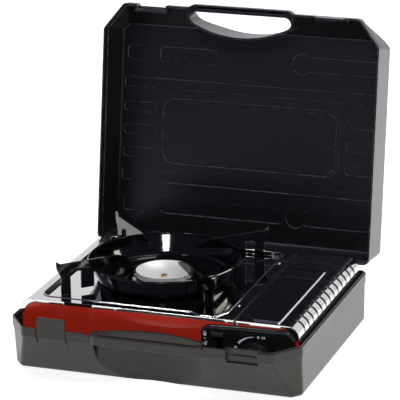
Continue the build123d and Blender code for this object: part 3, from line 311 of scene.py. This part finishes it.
def black_rubber():
    finish = Finish("black rubber", colour=(0.02, 0.02, 0.02), roughness=0.75)
    finish.raise_by(finish.lay(GRAIN, Scale=1200.0), depth=0.00008)
    return finish.done(edge=0.0005)


def white_print():
    finish = Finish("white print", colour=(0.92, 0.92, 0.92), roughness=0.4)
    gaps = spread(finish.tree, finish.noise(scale=900.0, detail=4.0),
                  low=0.62, high=0.7, to_high=0.6)
    finish.tint(gaps, colour=(0.2, 0.2, 0.2))
    finish.raise_by(finish.noise(scale=1500.0, detail=2.0), depth=0.00002)
    return finish.done(edge=0.0001)


def white_ceramic():
    finish = Finish("white ceramic", colour=(0.82, 0.8, 0.75), roughness=0.2, Coat_Weight=0.4)
    finish.tint(finish.lay(DUST, Amount=0.2, Scale=200.0), colour=(0.4, 0.35, 0.28))
    return finish.done(edge=0.0003)


FINISHES = {
    case_plastic: ("case_base",),
    red_enamel: ("body_shell",),
    polished_steel: ("top_plate", "cartridge_cover", "plate_rivets"),
    black_enamel: ("pan_support_ring", "pan_support_arms"),
    console_plastic: ("control_panel", "control_knob", "piezo_igniter"),
    zinc_steel: ("bottom_plate", "bay_partition", "burner_bracket", "lock_carriage",
                 "electrode_bracket"),
    burner_alloy: ("burner_head",),
    cast_alloy: ("regulator", "burner_base"),
    black_rubber: ("stove_feet", "igniter_lead"),
    white_ceramic: ("electrode_ceramic",),
}
METALS = {                                   # colour, roughness and nodes
    "hinge steel": ((0.5, 0.5, 0.51), 0.3,
                    ("case_hinge_pins", "cover_hinge_pins", "lever_pivot_pin", "electrode_wire")),
    "gas brass": ((0.72, 0.5, 0.24), 0.28, ("valve_shaft", "gas_pipe", "burner_screw")),
    "soft aluminium": ((0.75, 0.75, 0.76), 0.4, ("heat_plate",)),
    "aluminised tube": ((0.5, 0.5, 0.49), 0.45, ("mixing_tube",)),
}
LOOKS = {}                                   # the finishes made, by their functions


def dress(node, material):
    """Gives a node its material."""
    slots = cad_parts[node].data.materials
    slots.clear()
    slots.append(material)


def dress_all():
    for make, nodes in FINISHES.items():
        LOOKS[make] = make()
        for node in nodes:
            dress(node, LOOKS[make])
    for name, (colour, roughness, nodes) in METALS.items():
        made = plain_metal(name, colour, roughness)
        for node in nodes:
            dress(node, made)
    # The lid: the same plastic, with a painted bluish reflection and painted highlights along its
    # relief edges.
    lid_plastic_painted_light = case_plastic("lid plastic with painted light", painted_reflection_tint=(0.85, 0.85, 1.0, 1.0),
                               rub_and_highlight_colour=(0.3, 0.3, 0.33), rub_and_highlight_amount=0.65)
    dress("case_lid", lid_plastic_painted_light)
    dress("lock_lever", console_plastic("lever plastic", roughness=0.4))


# ---------------------------------------------------------------- outlines, in mm
def sweep(start, end, count):
    """Angles from start to end, given in degrees, in count equal steps."""
    return [radians(start + (end - start) * i / count) for i in range(count + 1)]


def oblong(left, low, right, high):
    """The corners of an upright rectangle, counter-clockwise."""
    return [(left, low), (right, low), (right, high), (left, high)]


def circle(middle, radius, count=64):
    turns = [2 * pi * i / count for i in range(count)]
    return [(middle[0] + radius * cos(t), middle[1] + radius * sin(t)) for t in turns]


def rounded(points, radii, steps=6):
    """A counter-clockwise outline with its corners rounded by the radii."""
    line = []
    for i, (corner, radius) in enumerate(zip(points, radii)):
        here = Vector(corner)
        before = (Vector(points[i - 1]) - here).normalized()
        after = (Vector(points[(i + 1) % len(points)]) - here).normalized()
        half = before.angle(after) / 2
        reach = radius / (sin(half) / cos(half))
        start, end = here + before * reach, here + after * reach
        for k in range(steps + 1):
            t = k / steps
            line.append(tuple((1 - t) ** 2 * start + 2 * t * (1 - t) * here + t * t * end))
    return line


def inward(line, amount):
    """An outline moved in by an amount, point by point."""
    moved = []
    for i, point in enumerate(line):
        before, after = Vector(line[i - 1]), Vector(line[(i + 1) % len(line)])
        along = (after - before).normalized()
        moved.append((point[0] - along.y * amount, point[1] + along.x * amount))
    return moved


def facing_front(line, y):
    """An outline in X and Z, set up at a depth Y."""
    return [(x, y, z) for x, z in line]


def lying(line, z):
    """An outline in X and Y, laid at a height Z."""
    return [(x, y, z) for x, y in line]


# ---------------------------------------------------------------- pieces
CONSOLE_FACE, BODY_WALL = -110.5, -106.7     # Y of the control panel's front and of the red wall's
SKIN = 0.8                                   # the console cover stands this proud of the panel
KNOB_MIDDLE, DIAL_HOLE = (121.0, 39.0), 23.4
SLOT_MIDDLE, SLOT_HALF = (76.5, 55.0), (3.5, 14.5)
LINER = 0.35                                 # the cover's slot is this much smaller all round
SHARP_FROM = 40                              # degrees between faces that stay a sharp edge
SAME_POINT = 1e-7                            # metres


class Piece:
    """A mesh under way, its points given in mm."""

    def __init__(self):
        self.verts, self.faces = [], []

    def add(self, points):
        """Adds points; gives their indices."""
        first = len(self.verts)
        self.verts += [tuple(MM * c for c in point) for point in points]
        return list(range(first, len(self.verts)))

    def bridge(self, one, two, closed=True):
        """Joins two loops of the same length by four-sided faces."""
        count = len(one)
        for i in range(count if closed else count - 1):
            j = (i + 1) % count
            self.faces.append((one[i], one[j], two[j], two[i]))

    def cap(self, loop, flip=False):
        self.faces.append(tuple(reversed(loop)) if flip else tuple(loop))

    def sleeve(self, loops):
        """Joins closed loops in their order."""
        for one, two in zip(loops, loops[1:]):
            self.bridge(one, two)

    def bar(self, lines):
        """A closed bar: open lines along its edges, joined round and capped at both ends."""
        for one, two in zip(lines, lines[1:] + lines[:1]):
            self.bridge(one, two, closed=False)
        for end in (0, -1):
            self.cap([line[end] for line in lines])

    def made(self, name, look, body, slot):
        """Puts the piece in the scene, on its body; its slot is not used."""
        mesh = bpy.data.meshes.new(name)
        mesh.from_pydata(self.verts, [], self.faces)
        work = bmesh.new()
        work.from_mesh(mesh)
        bmesh.ops.remove_doubles(work, verts=work.verts, dist=SAME_POINT)
        bmesh.ops.recalc_face_normals(work, faces=work.faces)
        work.to_mesh(mesh)
        work.free()
        mesh.polygons.foreach_set("use_smooth", [True] * len(mesh.polygons))
        mesh.materials.append(look)
        piece = bpy.data.objects.new(name, mesh)
        bpy.context.scene.collection.objects.link(piece)
        mesh.set_sharp_from_angle(angle=radians(SHARP_FROM))
        even = piece.modifiers.new("even shading", "WEIGHTED_NORMAL")
        even.keep_sharp, even.weight = True, 100
        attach(piece, body)


def console_cover():
    """The glossy, pillow-edged cover of the control panel, open at the dial and the slot."""
    outline = rounded(
        [(54.4, 16.0), (167.6, 16.0), (167.6, 76.3), (102.0, 75.2), (54.4, 73.4)],
        radii=[6.0, 6.0, 14.5, 1.0, 12.0],
    )
    face = CONSOLE_FACE - SKIN
    pillow = (                               # how far in, and at which Y, from the wall to the face
        (-0.5, BODY_WALL), (-0.5, face + 2.2), (-0.1, face + 1.1),
        (0.8, face + 0.3), (2.2, face - 0.1), (4.0, face),
    )
    piece = Piece()
    loops = [piece.add(facing_front(inward(outline, amount), y)) for amount, y in pillow]
    piece.sleeve(loops)

    half_width, half_height = SLOT_HALF[0] - LINER, SLOT_HALF[1] - LINER
    slot = rounded(
        oblong(SLOT_MIDDLE[0] - half_width, SLOT_MIDDLE[1] - half_height,
               SLOT_MIDDLE[0] + half_width, SLOT_MIDDLE[1] + half_height),
        radii=[0.8] * 4, steps=2,
    )
    dial = circle(KNOB_MIDDLE, DIAL_HOLE)
    chamfer_out, chamfer_in, slot_depth = 0.3, 0.25, 5.0
    rings = [loops[-1]]
    for line, floor_y in ((dial, CONSOLE_FACE), (slot, BODY_WALL + slot_depth)):
        rim = piece.add(facing_front(inward(line, -chamfer_out), face))
        lip = piece.add(facing_front(line, face + chamfer_in))
        deep = piece.add(facing_front(line, floor_y))
        piece.sleeve([rim, lip, deep])
        rings.append(list(reversed(rim)))
    flat = [i for ring in rings for i in ring]
    outlines = [[Vector((piece.verts[i][0], piece.verts[i][2], 0.0)) for i in ring]
                for ring in rings]
    for triangle in tessellate_polygon(outlines):
        piece.faces.append(tuple(flat[i] for i in triangle))
    piece.made("console_cover", LOOKS[console_plastic], "stove", "console_plastic")


def dial_marks(print_white):
    """The printed scale round the knob and the lock signs beside the lever."""
    middle, reach = (119.9, 39.5), 25.5                     # the arc of the scale
    tip_turn, tip_width, wedge_turn, wedge_growth = 90, 0.6, 50, 1.1
    tick_in, tick_out = 1.2, 1.6                            # the short mark, from the arc
    dot, dot_r = (124.4, 65.6), 1.5
    bars_x, bar_half, bar_low, bar_high = (129.4, 131.8), 0.8, 64.4, 67.0
    lock_left, lock_right, lock_down, lock_up = 57.2, 61.2, 2.2, 0.9
    bow_x, bow_up, bow_in, bow_out = 59.2, 1.6, 1.0, 1.6    # the shackle
    sunk, proud = 0.05, 0.12
    back, front = CONSOLE_FACE - SKIN + sunk, CONSOLE_FACE - SKIN - proud
    piece = Piece()

    def around(centre, radius, turns):
        """A line round a centre; radius gives its distance at each angle."""
        return [(centre[0] + radius(t) * cos(t), centre[1] + radius(t) * sin(t)) for t in turns]

    def strip(centre, inner, outer, turns):
        """A printed strip between two radii."""
        inside, outside = around(centre, inner, turns), around(centre, outer, turns)
        section = ((front, inside), (front, outside), (back, outside), (back, inside))
        piece.bar([piece.add(facing_front(line, y)) for y, line in section])

    def patch(line):
        """A printed patch."""
        near, far = (piece.add(facing_front(line, y)) for y in (front, back))
        piece.bridge(near, far)
        piece.cap(near)
        piece.cap(far, flip=True)

    def taper(t):
        """The wedge's inner radius, which falls as its outer one rises."""
        return reach - wedge_growth * (t - radians(tip_turn)) / radians(wedge_turn)

    strip(middle, taper, lambda t: 2 * reach + tip_width - taper(t), sweep(140, 92, 14))
    strip(middle, lambda t: reach - tick_in, lambda t: reach + tick_out, sweep(163, 151, 4))
    patch(circle(dot, dot_r, count=20))
    for x in bars_x:
        bar = oblong(x - bar_half, bar_low, x + bar_half, bar_high)
        patch(rounded(bar, radii=[0.3] * 4, steps=2))
    for z, lean in ((63.2, 0.0), (51.4, 1.6)):              # the shut lock and the open one
        lock = oblong(lock_left, z - lock_down, lock_right, z + lock_up)
        patch(rounded(lock, radii=[0.4] * 4, steps=2))
        bow = (bow_x + lean, z + bow_up)
        strip(bow, lambda t: bow_in, lambda t: bow_out, sweep(-20, 200, 14))
    patch([(58.2, 58.4), (59.2, 56.2), (60.2, 58.4)])       # the arrow between the locks
    piece.made("dial_marks", print_white, "stove", "console_plastic")


def side_black_strips(black):
    """Black strips laid along the body's side walls, under the bright shoulders, so that the walls
    read black there.
    """
    outline = rounded(oblong(-106.4, 12.0, 140.4, 65.8), radii=[3.0, 3.0, 1.2, 1.2], steps=4)
    section = ((0.0, 171.6), (0.0, 172.3), (0.5, 172.8))    # how far in, and at which X
    piece = Piece()
    for side in (-1, 1):
        loops = [piece.add([(side * out, y, z) for y, z in inward(outline, amount)])
                 for amount, out in section]
        piece.sleeve(loops)
        piece.cap(loops[-1])
        piece.cap(loops[0], flip=True)
    piece.made("side_black_strips", black, "stove", "console_plastic")


def corner_webs():
    """The folded corners of the bright front flange, between the panel and the shoulders."""
    back, front = -107.3, -108.15

    def quarter(side, middle, half_width, half_height):
        """A quarter of an oval, from the side wall up to the top."""
        return [(side * (middle[0] + half_width * cos(t)), middle[1] + half_height * sin(t))
                for t in sweep(0, 90, 15)]

    for side, name, body in ((1, "corner_web_right", "cover"), (-1, "corner_web_left", "stove")):
        outer = quarter(side, middle=(158.8, 67.9), half_width=13.9, half_height=13.9)
        inner = quarter(side, middle=(151.0, 63.5), half_width=17.5, half_height=15.4)
        section = ((back, outer), (front, outer), (front, inner), (back, inner))
        piece = Piece()
        piece.bar([piece.add(facing_front(line, y)) for y, line in section])
        piece.made(name, LOOKS[polished_steel], body, "polished_steel")


def louvre_painted_shade(black):
    """Black strips round the slits in the bright right shoulder: painted shade that widens each
    dark slit.
    """
    arc_x, arc_z, radius = 159.0, 68.0, 14.0            # the shoulder's rounding in the CAD
    slits, pitch, middle_y = 13, 17.0, 17.0
    piece = Piece()

    def bent(line, y0, out):
        """A slit's outline of angles and offsets, bent round the shoulder."""
        return [(arc_x + (radius + out) * cos(t), y0 + y, arc_z + (radius + out) * sin(t))
                for t, y in line]

    def slit(half, start, end, rise_steps=12, end_steps=6):
        """A slit's outline, from half its width and the places of its ends in degrees."""
        rise = sweep(start, end, rise_steps)
        bends = [pi * i / end_steps for i in range(1, end_steps)]
        top = [(radians(end) + half / radius * sin(b), half * cos(b)) for b in bends]
        foot = [(radians(start) - half / radius * sin(b), -half * cos(b)) for b in bends]
        return [(t, half) for t in rise] + top + [(t, -half) for t in reversed(rise)] + foot

    outer, inner = slit(half=2.3, start=5.0, end=76.0), slit(half=1.35, start=9.0, end=77.0)
    foot_out, crown_out, deep_out = 0.02, 0.16, -1.8    # from the shoulder's surface, outwards
    section = ((outer, foot_out), (outer, crown_out), (inner, crown_out), (inner, deep_out))
    for index in range(slits):
        y0 = middle_y + (index - slits // 2) * pitch
        piece.sleeve([piece.add(bent(line, y0, out)) for line, out in section])
    piece.made("louvre_painted_shade", black, "cover", "console_plastic")


def plate_screws():
    """Six cross-head screws under the bottom plate."""
    head = ((1.2, 8.15), (2.2, 8.4), (2.9, 8.9), (3.1, 9.6))    # radius and Z, from the crown up
    arm = oblong(-1.7, -0.28, 1.7, 0.28)                        # one bar of the cross
    cross_low, cross_high = 8.05, 8.6
    columns, rows = (-158.0, 0.0, 158.0), (-96.0, 130.0)
    piece = Piece()
    for x in columns:
        for y in rows:
            loops = [piece.add(lying(circle((x, y), radius, count=20), z)) for radius, z in head]
            piece.cap(loops[0])
            piece.sleeve(loops)
            for turn in (0.0, pi / 2):
                line = [(x + u * cos(turn) - v * sin(turn), y + u * sin(turn) + v * cos(turn))
                        for u, v in arm]
                near, far = piece.add(lying(line, cross_low)), piece.add(lying(line, cross_high))
                piece.bridge(near, far)
                piece.cap(near)
    piece.made("plate_screws", LOOKS[zinc_steel], "stove", "bottom_steel")


def pieces():
    print_white = white_print()
    # Black plastic for the side strips and for the painted shade round the louvre slits.
    black = console_plastic("black strip plastic", roughness=0.4)
    console_cover()
    dial_marks(print_white)
    side_black_strips(black)
    corner_webs()
    louvre_painted_shade(black)
    plate_screws()


# ---------------------------------------------------------------- studio, in metres
PAPER_GLOW = 0.7                             # whitens the paper to the camera and in polished steel
ROOM_COLOUR = (0.09, 0.09, 0.14, 1.0)        # the unlit room round the table
BODY_MIDDLE = (0.0, 0.0, 0.1)
LENS, SENSOR, FAR_LIMIT = 237.1, 36.0, 50.0  # mm, mm and metres
EYE, LOOK_AT, ROLL = (1.0111, -2.8029, 1.1564), (0.0, 0.0459, 0.1714), -0.86
LAMPS = {                                    # place, aim, width, height, power and colour
    "side lamp": ((2.3, 1.3, 0.8), (0.1, 0.0, 0.1), 1.4, 1.0, 50.0, (1.0, 0.96, 0.85)),
    "top lamp": ((0.5, 1.0, 2.3), BODY_MIDDLE, 1.2, 1.2, 27.0, WHITE),
    "key lamp": ((0.5, -1.8, 1.65), BODY_MIDDLE, 0.42, 0.42, 18.0, WHITE),
    "edge lamp": ((-0.8, -0.15, 2.4), (0.0, 0.1, 0.2), 0.25, 0.25, 8.0, WHITE),
}


def studio_floor():
    """A white table that ends in front of the case and runs up into a wall well behind it."""
    half_width, front, rise_at, rise_top, bend = 4.5, -1.25, 3.6, 3.6, 0.8
    line = [(front, 0.0), (rise_at, 0.0)]
    line += [(rise_at + bend * sin(t), bend * (1 - cos(t))) for t in sweep(10, 90, 8)]
    line.append((rise_at + bend, rise_top))
    mesh = bpy.data.meshes.new("studio floor")
    verts = [(side * half_width, y, z) for y, z in line for side in (-1, 1)]
    faces = [(2 * i, 2 * i + 1, 2 * i + 3, 2 * i + 2) for i in range(len(line) - 1)]
    mesh.from_pydata(verts, [], faces)
    mesh.polygons.foreach_set("use_smooth", [True] * len(mesh.polygons))
    floor = bpy.data.objects.new("studio_floor", mesh)
    bpy.context.scene.collection.objects.link(floor)
    finish = Finish("white paper", colour=(0.86, 0.86, 0.85), roughness=0.9,
                    Emission_Color=(*WHITE, 1.0))
    rays = finish.tree.nodes.new("ShaderNodeLightPath")
    seen = maths(finish.tree, "MAXIMUM",
                 rays.outputs["Is Camera Ray"], rays.outputs["Is Glossy Ray"])
    finish.set("Emission Strength", times(finish.tree, seen, PAPER_GLOW))
    mesh.materials.append(finish.done())


def dark_room():
    """White to the camera, and a dim bluish room as light and in what mirrors it."""
    world = bpy.data.worlds.new("studio")
    bpy.context.scene.world = world
    world.use_nodes = True
    tree = world.node_tree
    background = tree.nodes["Background"]
    rays = tree.nodes.new("ShaderNodeLightPath")
    mix = tree.nodes.new("ShaderNodeMix")
    mix.data_type = "RGBA"
    feed(tree, mix.inputs["Factor"], rays.outputs["Is Camera Ray"])
    feed(tree, mix.inputs["A"], ROOM_COLOUR)
    feed(tree, mix.inputs["B"], (*WHITE, 1.0))
    feed(tree, background.inputs["Color"], mix.outputs["Result"])


def aimed(name, data, place, aim):
    """Adds a lamp or a camera that looks at a point, upright."""
    made = bpy.data.objects.new(name, data)
    made.location = place
    made.rotation_mode = "QUATERNION"
    made.rotation_quaternion = (Vector(aim) - Vector(place)).to_track_quat("-Z", "Y")
    bpy.context.scene.collection.objects.link(made)
    return made


def soft_box(name, place, aim, width, height, power, colour):
    """A rectangular lamp that faces a point."""
    light = bpy.data.lights.new(name, "AREA")
    light.shape = "RECTANGLE"
    light.size, light.size_y, light.energy, light.color = width, height, power, colour
    aimed(name, light, place, aim)


def camera():
    """The camera, level to within a degree, looking a little down from the front right."""
    lens = bpy.data.cameras.new("camera")
    lens.lens, lens.sensor_width, lens.clip_end = LENS, SENSOR, FAR_LIMIT
    made = aimed("camera", lens, EYE, LOOK_AT)
    roll = Matrix.Rotation(radians(ROLL), 3, "Z").to_quaternion()
    made.rotation_quaternion = made.rotation_quaternion @ roll
    bpy.context.scene.camera = made


def studio():
    studio_floor()
    dark_room()
    for name, settings in LAMPS.items():
        soft_box(name, *settings)
    camera()
    bpy.context.scene.view_settings.view_transform = "Standard"


dress_all()
pieces()
studio()
